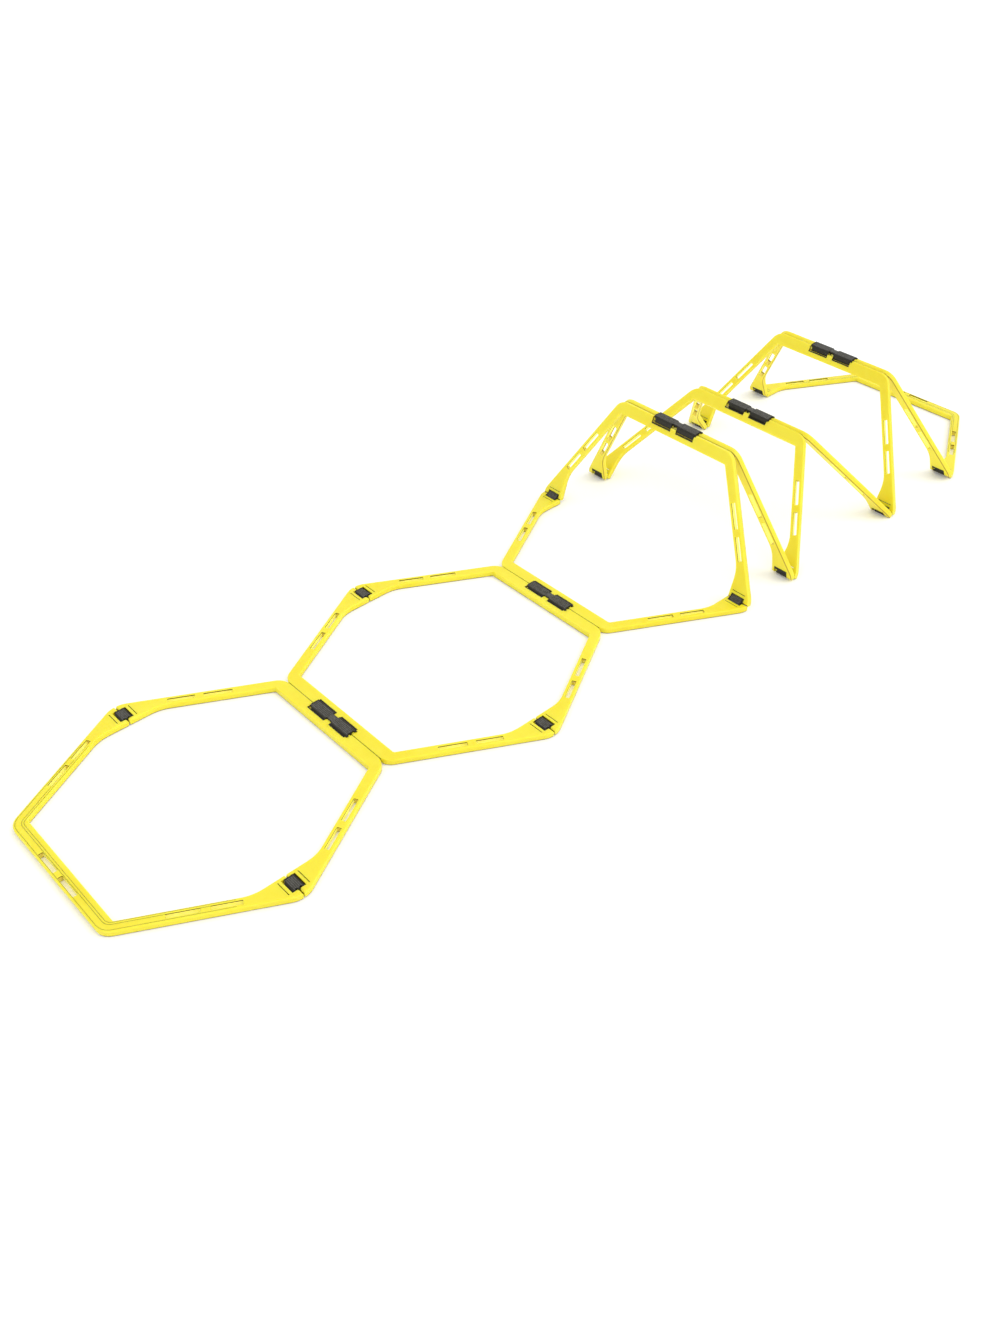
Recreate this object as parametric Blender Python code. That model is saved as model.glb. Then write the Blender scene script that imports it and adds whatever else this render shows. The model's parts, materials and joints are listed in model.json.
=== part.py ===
"""Folding agility hurdle: twelve half-hexagon panels joined in a zigzag chain by black links.

The chain runs along +X. The first five panels lie flat, the next six stand as three
A-frames, and the last lies flat again. Metres, +Z up, the floor is z = 0.
"""

import math

import bmesh
import bpy
import numpy as np
from mathutils import Matrix, Vector

# Panel, a moulded half hexagon. u runs from the top bar's outer edge to the feet, v along the bar.
THICKNESS = 0.0105
HEIGHT = 0.228
TOP_LENGTH = 0.250
FOOT_SPAN = 0.500
BAR_WIDTH = 0.0225
LEG_WIDTH = 0.0168
TOP_CORNER_RADIUS = 0.026
INNER_CORNER_RADIUS = 0.004
FOOT_TIP_RADIUS = 0.035
FOOT_INNER_V = 0.203
FLARE_LENGTH = 0.065
FLARE_STRAIGHT = 0.034
FOOT_CORNER = 0.0012
EDGE_ROUND = 0.0012

# Slots through the legs, as fractions of the height, and through the end panels' free top bars.
LEG_SLOTS = ((0.33, 0.50), (0.55, 0.71))
LEG_SLOT_WIDTH = 0.0072
FREE_SLOT_U = (0.0034, 0.0104)
FREE_SLOT_V = (0.006, 0.049)

# Hinges. Each panel edge carries its pin half a thickness in, so folded panels lie face to face.
SEAM_GAP = 0.0004
PIN_RADIUS = 0.0025
PIN_CLEARANCE = 0.00015
PIN_SIDES = 16
PIN_ANCHOR = 0.0008
NOSE_STEPS = 4
POCKET_DEPTH = THICKNESS + 0.00035
POCKET_SIDE_GAP = 0.0003
MOUTH_WIDTH = 0.0040
CLIP_SLOT_SETBACK = 0.0156
CLIP_SLOT_WIDTH = 0.0010

TOP_LINK_HALF = 0.0477
BRIDGE_HALF = 0.0060
BRIDGE_SETBACK = THICKNESS / 2 + 0.0006
NECK_HALF_WIDTH = 0.0050
NECK_PLATE_Z = 0.0029
NECK_RIB_HALF_WIDTH = 0.0024
NECK_RIB_Z = 0.0005
CROWN_HEIGHT = 0.0024
CROWN_SLOPE = 0.0020

FOOT_LINK_CENTRE = 0.2215
FOOT_LINK_HALF = 0.0130

# Rise of the panels that climb to the three ridges, in degrees.
FLAT_PANELS = 5
RIDGE_RISE = (73.5, 50.5, 67.0)
RISE_SEARCH = 0.3
RISE_STEPS = 60

YELLOW = (0.95, 0.80, 0.02)
BLACK = (0.035, 0.035, 0.037)
PANEL_ROUGHNESS = 0.42
LINK_ROUGHNESS = 0.6

HALF = THICKNESS / 2
PIN_PITCH = THICKNESS + SEAM_GAP
PIN_SPAN = HEIGHT - THICKNESS
LEG_ANGLE = math.atan2((FOOT_SPAN - TOP_LENGTH) / 2, HEIGHT)
MARGIN = 0.002
MERGE = 1e-6


def clear_scene():
    for obj in list(bpy.data.objects):
        bpy.data.objects.remove(obj, do_unlink=True)
    hurdle = bpy.data.collections.new("agility_hurdle")
    cutters = bpy.data.collections.new("cutters")
    cutters.hide_render = True
    for collection in (hurdle, cutters):
        bpy.context.scene.collection.children.link(collection)
    return hurdle, cutters


def plain_material(name, colour, roughness):
    material = bpy.data.materials.new(name)
    material.use_nodes = True
    shader = material.node_tree.nodes["Principled BSDF"]
    shader.inputs["Base Color"].default_value = (*colour, 1.0)
    shader.inputs["Roughness"].default_value = roughness
    material.diffuse_color = (*colour, 1.0)
    return material


def arc(centre, radius, start, end, steps):
    """Points on an arc from one angle to another, measured from +u towards +v."""
    angles = np.linspace(start, end, steps + 1)
    return [(centre[0] + radius * math.cos(a), centre[1] + radius * math.sin(a)) for a in angles]


def bezier(first, control, last, steps):
    points = []
    for s in np.linspace(0.0, 1.0, steps + 1):
        points.append(
            tuple(
                (1 - s) ** 2 * a + 2 * s * (1 - s) * b + s * s * c
                for a, b, c in zip(first, control, last)
            )
        )
    return points


def half_outline():
    """The +v half of the panel's outline, from the top bar's outer edge round to its inner edge."""
    slope = math.tan(LEG_ANGLE)
    half_top = TOP_LENGTH / 2
    # outer top corner
    turn = math.pi / 2 - LEG_ANGLE
    setback = TOP_CORNER_RADIUS * math.tan(turn / 2)
    centre = (TOP_CORNER_RADIUS, half_top - setback)
    outline = arc(centre, TOP_CORNER_RADIUS, math.pi, math.pi / 2 + LEG_ANGLE, 5)
    # outer tip of the foot
    tip_v = FOOT_SPAN / 2 - FOOT_TIP_RADIUS * (1 / math.cos(LEG_ANGLE) - 1)
    centre = (HEIGHT, tip_v - FOOT_TIP_RADIUS)
    outline += arc(centre, FOOT_TIP_RADIUS, math.pi / 2 + LEG_ANGLE, math.pi / 2, 3)[:-1]
    outline += [(HEIGHT - FOOT_CORNER, tip_v), (HEIGHT, tip_v - FOOT_CORNER)]
    # end of the foot and the flare back to the leg
    inner_end = FOOT_INNER_V
    outline += [(HEIGHT, inner_end + FOOT_CORNER), (HEIGHT - FOOT_CORNER, inner_end)]
    inner_line = half_top - LEG_WIDTH / math.cos(LEG_ANGLE)
    flare_u = HEIGHT - FLARE_LENGTH
    flare_v = inner_line + flare_u * slope
    control = (flare_u + (inner_end - flare_v) / slope, inner_end)
    outline += bezier((HEIGHT - FLARE_STRAIGHT, inner_end), control, (flare_u, flare_v), 5)
    # inner top corner
    setback = INNER_CORNER_RADIUS * math.tan(turn / 2)
    corner_v = inner_line + BAR_WIDTH * slope - setback
    centre = (BAR_WIDTH + INNER_CORNER_RADIUS, corner_v)
    outline += arc(centre, INNER_CORNER_RADIUS, math.pi / 2 + LEG_ANGLE, math.pi, 2)
    return outline


def inward_normals(outline):
    """Mitred inward offset direction at each point of a closed outline."""
    points = np.array(outline)
    area = 0.0
    for (u1, v1), (u2, v2) in zip(points, np.roll(points, -1, axis=0)):
        area += u1 * v2 - u2 * v1
    side = 1.0 if area > 0 else -1.0
    normals = []
    for i, point in enumerate(points):
        before = point - points[i - 1]
        after = points[(i + 1) % len(points)] - point
        n1 = side * np.array([-before[1], before[0]]) / np.linalg.norm(before)
        n2 = side * np.array([-after[1], after[0]]) / np.linalg.norm(after)
        mitre = n1 + n2
        normals.append(mitre * 2 / mitre.dot(mitre))
    return normals


def panel_blank():
    """The panel before it is cut: rings of the outline, drawn in where the edges are eased."""
    half = half_outline()
    outline = half + [(u, -v) for u, v in reversed(half)]
    normals = inward_normals(outline)
    eased = [(0.0, EDGE_ROUND), (0.3 * EDGE_ROUND, 0.3 * EDGE_ROUND), (EDGE_ROUND, 0.0)]
    levels = eased + [(THICKNESS - z, draw) for z, draw in reversed(eased)]
    mesh = bmesh.new()
    rings = []
    for z, draw in levels:
        ring = []
        for (u, v), normal in zip(outline, normals):
            ring.append(mesh.verts.new((u + normal[0] * draw, v + normal[1] * draw, z)))
        rings.append(ring)
    count = len(outline)
    for low, high in zip(rings, rings[1:]):
        for i in range(count):
            j = (i + 1) % count
            mesh.faces.new((low[i], low[j], high[j], high[i]))
    mesh.faces.new(rings[0])
    mesh.faces.new(rings[-1])
    return mesh


def add_box(mesh, low, high, matrix=None):
    centre = (Vector(low) + Vector(high)) / 2
    size = Vector(high) - Vector(low)
    place = (matrix or Matrix()) @ Matrix.Translation(centre) @ Matrix.Diagonal((*size, 1.0))
    bmesh.ops.create_cube(mesh, size=1.0, matrix=place)


def add_rod(mesh, radius, centre, low_v, high_v):
    """A rod along v, with a flat turned to the top so that it sits evenly in its bore."""
    place = Matrix.Translation((centre[0], (low_v + high_v) / 2, centre[1]))
    place = place @ Matrix.Rotation(math.pi / 2, 4, "X") @ Matrix.Rotation(math.pi / PIN_SIDES, 4, "Z")
    bmesh.ops.create_cone(
        mesh,
        cap_ends=True,
        segments=PIN_SIDES,
        radius1=radius,
        radius2=radius,
        depth=high_v - low_v,
        matrix=place,
    )


def as_object(mesh, name, collection):
    bmesh.ops.recalc_face_normals(mesh, faces=mesh.faces)
    data = bpy.data.meshes.new(name)
    mesh.to_mesh(data)
    mesh.free()
    obj = bpy.data.objects.new(name, data)
    collection.objects.link(obj)
    return obj


def combined(base, others, operation, cutters):
    """The mesh of base after one exact Boolean with each of the other shapes."""
    for other in others:
        tool = as_object(other, "cutter", cutters)
        tool.hide_render = True
        tool.display_type = "WIRE"
        modifier = base.modifiers.new(operation.lower(), "BOOLEAN")
        modifier.operation = operation
        modifier.solver = "EXACT"
        modifier.object = tool
    graph = bpy.context.evaluated_depsgraph_get()
    graph.update()
    data = bpy.data.meshes.new_from_object(base.evaluated_get(graph))
    base.modifiers.clear()
    base.data = data
    return base


def box_shape(low, high, matrix=None):
    mesh = bmesh.new()
    add_box(mesh, low, high, matrix)
    return mesh


def nose_cut(pin_u, outward, upward):
    """What is cut from a hinged edge to round it about its pin, above or below the pin."""
    corner = HALF + MARGIN
    section = [(0.0, HALF), (0.0, corner), (corner, corner), (corner, 0.0)]
    for i in range(NOSE_STEPS):
        a = i * math.pi / 2 / NOSE_STEPS
        section.append((HALF * math.cos(a), HALF * math.sin(a)))
    placed = [(pin_u + outward * u, HALF + upward * z) for u, z in section]
    mesh = bmesh.new()
    add_prism(mesh, placed, -FOOT_SPAN / 2 - MARGIN, FOOT_SPAN / 2 + MARGIN)
    return mesh


def leg_slots():
    """Two slots through each leg, along the middle of its straight part."""
    middle = LEG_WIDTH / 2 / math.cos(LEG_ANGLE)
    shapes = []
    for side in (1, -1):
        for first, last in LEG_SLOTS:
            u = (first + last) / 2 * HEIGHT
            v = side * (TOP_LENGTH / 2 + u * math.tan(LEG_ANGLE) - middle)
            half = (last - first) / 2 * HEIGHT / math.cos(LEG_ANGLE)
            turn = Matrix.Translation((u, v, 0.0)) @ Matrix.Rotation(side * LEG_ANGLE, 4, "Z")
            wide = LEG_SLOT_WIDTH / 2
            shapes.append(box_shape((-half, -wide, -MARGIN), (half, wide, THICKNESS + MARGIN), turn))
    return shapes


def foot_pockets():
    low = FOOT_LINK_CENTRE - FOOT_LINK_HALF - POCKET_SIDE_GAP
    high = FOOT_LINK_CENTRE + FOOT_LINK_HALF + POCKET_SIDE_GAP
    start = HEIGHT - POCKET_DEPTH
    end = HEIGHT + MARGIN
    shapes = []
    for v1, v2 in ((low, high), (-high, -low)):
        shapes.append(box_shape((start, v1, -MARGIN), (end, v2, THICKNESS + MARGIN)))
    return shapes


def clip_slots():
    """A narrow slot behind each foot pocket, which leaves a thin bar between the two."""
    low = FOOT_LINK_CENTRE - FOOT_LINK_HALF
    high = FOOT_LINK_CENTRE + FOOT_LINK_HALF
    end = HEIGHT - CLIP_SLOT_SETBACK
    start = end - CLIP_SLOT_WIDTH
    shapes = []
    for v1, v2 in ((low, high), (-high, -low)):
        shapes.append(box_shape((start, v1, -MARGIN), (end, v2, THICKNESS + MARGIN)))
    return shapes


def foot_pins():
    low = FOOT_LINK_CENTRE - FOOT_LINK_HALF - POCKET_SIDE_GAP - PIN_ANCHOR
    high = FOOT_LINK_CENTRE + FOOT_LINK_HALF + POCKET_SIDE_GAP + PIN_ANCHOR
    shapes = []
    for v1, v2 in ((low, high), (-high, -low)):
        mesh = bmesh.new()
        add_rod(mesh, PIN_RADIUS, (HEIGHT - HALF, HALF), v1, v2)
        shapes.append(mesh)
    return shapes


def bar_pockets():
    """One pocket for each pad of the top link, and the bridge between them set back for its neck."""
    end = TOP_LINK_HALF + POCKET_SIDE_GAP
    top = THICKNESS + MARGIN
    bridge = BRIDGE_HALF + EDGE_ROUND
    return [
        box_shape((-MARGIN, BRIDGE_HALF, -MARGIN), (POCKET_DEPTH, end, top)),
        box_shape((-MARGIN, -end, -MARGIN), (POCKET_DEPTH, -BRIDGE_HALF, top)),
        box_shape((-MARGIN, -bridge, -MARGIN), (BRIDGE_SETBACK, bridge, top)),
    ]


def bar_pins():
    end = TOP_LINK_HALF + POCKET_SIDE_GAP + PIN_ANCHOR
    start = BRIDGE_HALF - PIN_ANCHOR / 4
    shapes = []
    for v1, v2 in ((start, end), (-end, -start)):
        mesh = bmesh.new()
        add_rod(mesh, PIN_RADIUS, (HALF, HALF), v1, v2)
        shapes.append(mesh)
    return shapes


def free_bar_slots():
    low_u, high_u = FREE_SLOT_U
    low_v, high_v = FREE_SLOT_V
    top = THICKNESS + MARGIN
    return [
        box_shape((low_u, low_v, -MARGIN), (high_u, high_v, top)),
        box_shape((low_u, -high_v, -MARGIN), (high_u, -low_v, top)),
    ]


def panel_mesh(name, hinged_bar, cutters):
    blank = as_object(panel_blank(), name, cutters)
    cuts = leg_slots() + foot_pockets() + clip_slots()
    cuts += bar_pockets() if hinged_bar else free_bar_slots()
    cuts += [nose_cut(HEIGHT - HALF, 1, 1), nose_cut(HEIGHT - HALF, 1, -1), nose_cut(HALF, -1, -1)]
    pins = foot_pins()
    pins += bar_pins() if hinged_bar else []
    combined(blank, cuts, "DIFFERENCE", cutters)
    combined(blank, pins, "UNION", cutters)
    data = blank.data
    data.name = name
    bpy.data.objects.remove(blank, do_unlink=True)
    return data


def knuckles():
    """The lower half of a link's cross-section, round both pins. z is up from the pins."""
    points = []
    for i in range(5):
        a = math.pi + i * math.pi / 8
        points.append((-PIN_PITCH / 2 + HALF * math.cos(a), HALF * math.sin(a)))
    for i in range(5):
        a = 1.5 * math.pi + i * math.pi / 8
        points.append((PIN_PITCH / 2 + HALF * math.cos(a), HALF * math.sin(a)))
    return points


def rounded_section():
    """A foot link's cross-section: flat above and below, fully rounded at both ends."""
    points = knuckles()
    for x, start in ((PIN_PITCH / 2, 0.0), (-PIN_PITCH / 2, math.pi / 2)):
        for i in range(4):
            a = start + i * math.pi / 6
            # the first and last points are the knuckles' own
            if HALF * math.sin(a) > MERGE:
                points.append((x + HALF * math.cos(a), HALF * math.sin(a)))
    return points


def crowned_section():
    """A top link's cross-section: knuckles below, and above them a raised plateau with sloped sides."""
    reach = PIN_PITCH / 2 + HALF
    top = HALF + CROWN_HEIGHT
    crown = reach - CROWN_SLOPE
    return knuckles() + [(reach, HALF), (crown, top), (-crown, top), (-reach, HALF)]


def add_prism(mesh, section, low_v, high_v):
    near = [mesh.verts.new((x, low_v, z)) for x, z in section]
    far = [mesh.verts.new((x, high_v, z)) for x, z in section]
    for i in range(len(section)):
        j = (i + 1) % len(section)
        mesh.faces.new((near[i], near[j], far[j], far[i]))
    mesh.faces.new(near)
    mesh.faces.new(far)


def pad_shape(section, low_v, high_v):
    mesh = bmesh.new()
    add_prism(mesh, section, low_v, high_v)
    return mesh


def bores(low_v, high_v):
    """Two bores for the panels' pins, each with a mouth that snaps over its pin from below."""
    shapes = []
    for x in (-PIN_PITCH / 2, PIN_PITCH / 2):
        mesh = bmesh.new()
        add_rod(mesh, PIN_RADIUS + PIN_CLEARANCE, (x, 0.0), low_v - MARGIN, high_v + MARGIN)
        shapes.append(mesh)
        low = (x - MOUTH_WIDTH / 2, low_v - MARGIN, -HALF - MARGIN)
        shapes.append(box_shape(low, (x + MOUTH_WIDTH / 2, high_v + MARGIN, 0.0)))
    return shapes


def top_link_mesh(cutters):
    inner = BRIDGE_HALF + POCKET_SIDE_GAP
    link = as_object(pad_shape(crowned_section(), inner, TOP_LINK_HALF), "top_link", cutters)
    combined(link, bores(inner, TOP_LINK_HALF), "DIFFERENCE", cutters)
    other = bmesh.new()
    other.from_mesh(link.data)
    bmesh.ops.transform(other, matrix=Matrix.Diagonal((1.0, -1.0, 1.0, 1.0)), verts=other.verts)
    reach = inner + PIN_ANCHOR
    top = HALF + CROWN_HEIGHT
    plate = box_shape((-NECK_HALF_WIDTH, -reach, NECK_PLATE_Z), (NECK_HALF_WIDTH, reach, top))
    rib_top = (NECK_PLATE_Z + HALF) / 2
    rib = box_shape((-NECK_RIB_HALF_WIDTH, -reach, NECK_RIB_Z), (NECK_RIB_HALF_WIDTH, reach, rib_top))
    combined(link, [other, plate, rib], "UNION", cutters)
    data = link.data
    data.name = "top_link"
    bpy.data.objects.remove(link, do_unlink=True)
    return data


def foot_link_mesh(cutters):
    half = FOOT_LINK_HALF
    link = as_object(pad_shape(rounded_section(), -half, half), "foot_link", cutters)
    combined(link, bores(-half, half), "DIFFERENCE", cutters)
    data = link.data
    data.name = "foot_link"
    bpy.data.objects.remove(link, do_unlink=True)
    return data


def chain_from(rises):
    """Start pins of the panels and the angles of panels and links, for the panels' given rises."""
    x, z = 0.0, HALF
    starts, links = [], []
    for k, rise in enumerate(rises):
        starts.append((x, z))
        end = (x + PIN_SPAN * math.cos(rise), z + PIN_SPAN * math.sin(rise))
        if k + 1 < len(rises):
            tilt = (rise + rises[k + 1]) / 2
            links.append((end, tilt))
            x = end[0] + PIN_PITCH * math.cos(tilt)
            z = end[1] + PIN_PITCH * math.sin(tilt)
    return starts, links


def foot_height(rises, index):
    """Height above the floor of the lower pin of the link after the panel with this index."""
    (_, z), tilt = chain_from(rises)[1][index]
    return z + min(0.0, PIN_PITCH * math.sin(tilt)) - HALF


def solved_rises():
    """Rise of every panel, with each descending one turned until its foot stands on the floor."""
    rises = [0.0] * FLAT_PANELS
    for rise in RIDGE_RISE:
        rises += [math.radians(rise), -math.radians(rise)]
    rises.append(0.0)
    for index in range(FLAT_PANELS + 1, len(rises) - 1, 2):
        low, high = rises[index] - RISE_SEARCH, rises[index] + RISE_SEARCH
        for _ in range(RISE_STEPS):
            rises[index] = (low + high) / 2
            if foot_height(rises, index) > 0.0:
                high = rises[index]
            else:
                low = rises[index]
    return rises


def panel_placement(start, rise, shift, bar_first):
    """World matrix of a panel whose pin nearer the chain's start is at start."""
    turn = Matrix.Rotation(-rise, 4, "Y")
    if bar_first:
        local = Matrix.Translation((-HALF, 0.0, -HALF))
    else:
        local = Matrix.Rotation(math.pi, 4, "Z") @ Matrix.Translation((-(HEIGHT - HALF), 0.0, -HALF))
    return Matrix.Translation((start[0] + shift, 0.0, start[1])) @ turn @ local


def link_placement(pin, tilt, shift, v):
    middle = Matrix.Translation((PIN_PITCH / 2, 0.0, 0.0))
    turn = Matrix.Rotation(-tilt, 4, "Y")
    return Matrix.Translation((pin[0] + shift, v, pin[1])) @ turn @ middle


def place(name, data, matrix, axis_at, material, collection):
    """A node, hung from an empty on the axis it turns about."""
    obj = bpy.data.objects.new(name, data)
    collection.objects.link(obj)
    if axis_at is not None:
        pivot = bpy.data.objects.new(f"{name}_axis", None)
        pivot.location = axis_at
        pivot.empty_display_size = 0.01
        collection.objects.link(pivot)
        obj.parent = pivot
        obj.matrix_parent_inverse = Matrix.Translation(-Vector(axis_at))
    obj.matrix_basis = matrix
    if not data.materials:
        data.materials.append(None)
    obj.material_slots[0].link = "OBJECT"
    obj.material_slots[0].material = material
    return obj


def build():
    hurdle, cutters = clear_scene()
    middle_panel = panel_mesh("panel", True, cutters)
    end_panel = panel_mesh("end_panel", False, cutters)
    top_link = top_link_mesh(cutters)
    foot_link = foot_link_mesh(cutters)

    rises = solved_rises()
    starts, links = chain_from(rises)
    first_x = starts[0][0] - HALF
    last_x = starts[-1][0] + PIN_SPAN + HALF
    shift = -(first_x + last_x) / 2

    count = len(rises)
    root = FLAT_PANELS - 1
    for k in range(count):
        name = f"panel_{k + 1:02d}"
        data = end_panel if k in (0, count - 1) else middle_panel
        matrix = panel_placement(starts[k], rises[k], shift, k % 2 == 0)
        # the panel turns about the pin nearer the root panel
        pin = starts[k]
        if k < root:
            pin = links[k][0]
        axis_at = None if k == root else (pin[0] + shift, 0.0, pin[1])
        place(name, data, matrix, axis_at, plain_material(name, YELLOW, PANEL_ROUGHNESS), hurdle)

    tops = feet = 0
    for k, (pin, tilt) in enumerate(links):
        # a link turns about its pin in the panel nearer the root panel
        near = pin
        if k < root:
            near = (pin[0] + PIN_PITCH * math.cos(tilt), pin[1] + PIN_PITCH * math.sin(tilt))
        if k % 2:
            tops += 1
            name = f"top_link_{tops}"
            axis_at = (near[0] + shift, 0.0, near[1])
            matrix = link_placement(pin, tilt, shift, 0.0)
            place(name, top_link, matrix, axis_at, plain_material(name, BLACK, LINK_ROUGHNESS), hurdle)
            continue
        feet += 1
        for side, v in (("left", FOOT_LINK_CENTRE), ("right", -FOOT_LINK_CENTRE)):
            name = f"foot_link_{feet}_{side}"
            axis_at = (near[0] + shift, v, near[1])
            matrix = link_placement(pin, tilt, shift, v)
            place(name, foot_link, matrix, axis_at, plain_material(name, BLACK, LINK_ROUGHNESS), hurdle)


build()
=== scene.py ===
"""Looks for the folding agility hurdle: moulded yellow panels, black rubber links, a white studio.

Every panel and link is a finer mesh in the place of its CAD node, made in the panel's own axes:
u runs from the top bar's outer edge to the feet, v along the bar, z through the thickness.
"""

import json
import math

import bmesh
import bpy
import numpy as np
from mathutils import Matrix, Vector


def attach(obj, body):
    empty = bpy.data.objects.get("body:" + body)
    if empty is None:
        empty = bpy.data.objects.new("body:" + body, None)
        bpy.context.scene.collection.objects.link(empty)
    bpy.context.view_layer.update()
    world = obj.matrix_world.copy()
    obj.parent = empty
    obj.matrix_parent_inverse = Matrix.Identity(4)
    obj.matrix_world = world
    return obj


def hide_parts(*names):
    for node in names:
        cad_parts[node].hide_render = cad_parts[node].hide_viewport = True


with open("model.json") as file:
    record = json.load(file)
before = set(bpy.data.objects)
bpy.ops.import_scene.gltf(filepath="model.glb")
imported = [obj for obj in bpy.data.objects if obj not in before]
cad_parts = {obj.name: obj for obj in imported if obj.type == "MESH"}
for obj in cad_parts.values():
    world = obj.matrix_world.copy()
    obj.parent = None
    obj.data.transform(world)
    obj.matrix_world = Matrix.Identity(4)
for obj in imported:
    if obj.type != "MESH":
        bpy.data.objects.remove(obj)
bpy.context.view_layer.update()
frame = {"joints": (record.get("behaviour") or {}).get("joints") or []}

# All lengths are in metres.

# Panel
THICKNESS = 0.0105
HEIGHT = 0.228
TOP_LENGTH = 0.250
FOOT_SPAN = 0.500
BAR_WIDTH = 0.0225
LEG_WIDTH = 0.0168
TOP_CORNER_RADIUS = 0.026
INNER_CORNER_RADIUS = 0.004
FOOT_TIP_RADIUS = 0.035
FOOT_INNER_V = 0.203
FLARE_LENGTH = 0.065
FLARE_STRAIGHT = 0.034
FOOT_CORNER = 0.0012
EDGE_ROUND = 0.0013
EDGE_STEPS = 5
TOP_CORNER_STEPS = 14
INNER_CORNER_STEPS = 6
FOOT_TIP_STEPS = 10
FLARE_STEPS = 14

# Slots. The legs' slots are given as shares of the panel's height, from the bar down.
LEG_SLOTS = ((0.33, 0.50), (0.55, 0.71))
LEG_SLOT_WIDTH = 0.0072
FREE_SLOT_U = (0.0034, 0.0104)
FREE_SLOT_V = (0.006, 0.049)
SLOT_CORNER = 0.0009
RIM = 0.0002
SKIN = 0.0016
UNDERCUT = 0.0009

# Fine lines: the parting line round a panel's edge, and the beads along an end panel's free bar
PARTING_DEPTH = 0.00016
PARTING_HALF = 0.00030
BEAD_LINES = (0.0024, 0.0112, 0.0146)
BEAD_WIDTH = 0.0008
BEAD_DEPTH = 0.0006
BEAD_END = 0.150

# Hinges
PIN_RADIUS = 0.0025
PIN_CLEARANCE = 0.00015
PIN_SIDES = 32
PIN_ANCHOR = 0.0008
NOSE_STEPS = 8
POCKET_DEPTH = THICKNESS + 0.00035
POCKET_SIDE_GAP = 0.0003
POCKET_CORNER = 0.0006
MOUTH_WIDTH = 0.0040
CLIP_SLOT_SETBACK = 0.0156
CLIP_SLOT_WIDTH = 0.0010
STRAP_DEPTH = 0.0011
STRAP_GAP = 0.0001
STRAP_CORNER = 0.0005
STRAP_EDGE = 0.0003
BAR_STRAP_END = 0.0129

# Links
TOP_LINK_HALF = 0.0477
BRIDGE_HALF = 0.0060
BRIDGE_SETBACK = THICKNESS / 2 + 0.0006
NECK_HALF_WIDTH = 0.0050
NECK_PLATE_Z = 0.0029
NECK_RIB_HALF_WIDTH = 0.0024
NECK_RIB_Z = 0.0005
NECK_CROWN_HALF_WIDTH = 0.0064
NECK_CROWN_SLOPE = 0.0006
NECK_DROP = 0.0003
NECK_GROOVES = 4
CROWN_HEIGHT = 0.0024
CROWN_SLOPE = 0.0020
CROWN_TO_GROOVE = 0.0016
LINK_EDGE = 0.0004
KNUCKLE_STEPS = 6
BORE_STEPS = 22
GROOVES = 6
GROOVE_DEPTH = 0.0005
GROOVE_WIDTH = 0.0007
GROOVE_FLOOR = 0.4
FOOT_GROOVES = 4
FOOT_GROOVE_INSET = 0.0012
NOTCH_FROM = 0.0010
NOTCH_TO = 0.0062
NOTCH_DEPTH = 0.0034
NUB_LENGTH = 0.0036
NUB_HALF_WIDTH = 0.0064
NUB_SLANT = 0.0006
CUT_CORNER = (0.0052, 0.0075)
FOOT_LINK_CENTRE = 0.2215
FOOT_LINK_HALF = 0.0130

# Camera, fitted to the edges that are visible in the photo. The film and the lens are in millimetres.
FILM_WIDTH = 36.0
LENS = 33.26
CAMERA_AT = (-1.2862, -1.1768, 1.268)
CAMERA_AZIMUTH = 47.253
CAMERA_DOWN = 40.126
CAMERA_ROLL = 0.24

# What follows from the sizes above
HALF = THICKNESS / 2
PIN_SPAN = HEIGHT - THICKNESS
LEG_ANGLE = math.atan2((FOOT_SPAN - TOP_LENGTH) / 2, HEIGHT)
LEG_SLOPE = math.tan(LEG_ANGLE)

# The number of panels in the row
PANELS = 12

# How far a cutter reaches past the surface that it cuts
MARGIN = 0.002

# Points nearer than this are joined, and edges that turn by more than this angle look sharp
SAME_POINT = 1e-6
CRISP_ANGLE = math.radians(32)

# The studio's floor lies just under the feet
FLOOR_Z = -0.0002

# Colours, linear
YELLOW = (0.84, 0.715, 0.016, 1.0)
YELLOW_FLOW = (0.86, 0.765, 0.034, 1.0)
YELLOW_MOTTLE = (0.88, 0.80, 0.055, 1.0)
YELLOW_WORN = (0.92, 0.85, 0.13, 1.0)
# Painted light: the slots' walls, paler than the plastic
SLOT_WALL_PAINTED_LIGHT = (0.98, 0.91, 0.26, 1.0)
# Painted shade: the walls that close the slots' ends
SLOT_END_PAINTED_SHADE = (0.45, 0.29, 0.010, 1.0)
# Painted light: the glow that the slots' walls give off
SLOT_PAINTED_GLOW = (0.95, 0.82, 0.12, 1.0)
# Painted shade: the dark line on a slot's wall just under its top skin
UNDER_LIP_PAINTED_SHADE = (0.09, 0.045, 0.002, 1.0)
# Painted shade: a dark band along the bottom of a panel's side walls
LOWER_EDGE_PAINTED_SHADE = (0.30, 0.19, 0.006, 1.0)
# Painted shade: the colour in the plastic's seams and narrow gaps
YELLOW_CREVICE_SHADE = (0.14, 0.08, 0.003, 1.0)
RUBBER_DARK = (0.012, 0.011, 0.007, 1.0)
RUBBER_LIGHT = (0.026, 0.024, 0.017, 1.0)
# Dust and painted light: the grey of a link's up-facing top, with its rims left dark
DUST_AND_LIT_TOP_DARK = (0.062, 0.055, 0.038, 1.0)
DUST_AND_LIT_TOP_LIGHT = (0.140, 0.140, 0.130, 1.0)
# Painted shade: the colour in the rubber's seams and narrow gaps
RUBBER_CREVICE_SHADE = (0.006, 0.005, 0.003, 1.0)
FLOOR_DARK = (0.91, 0.91, 0.905, 1.0)
FLOOR_LIGHT = (0.925, 0.925, 0.92, 1.0)
WHITE = (1.0, 1.0, 1.0, 1.0)

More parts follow.
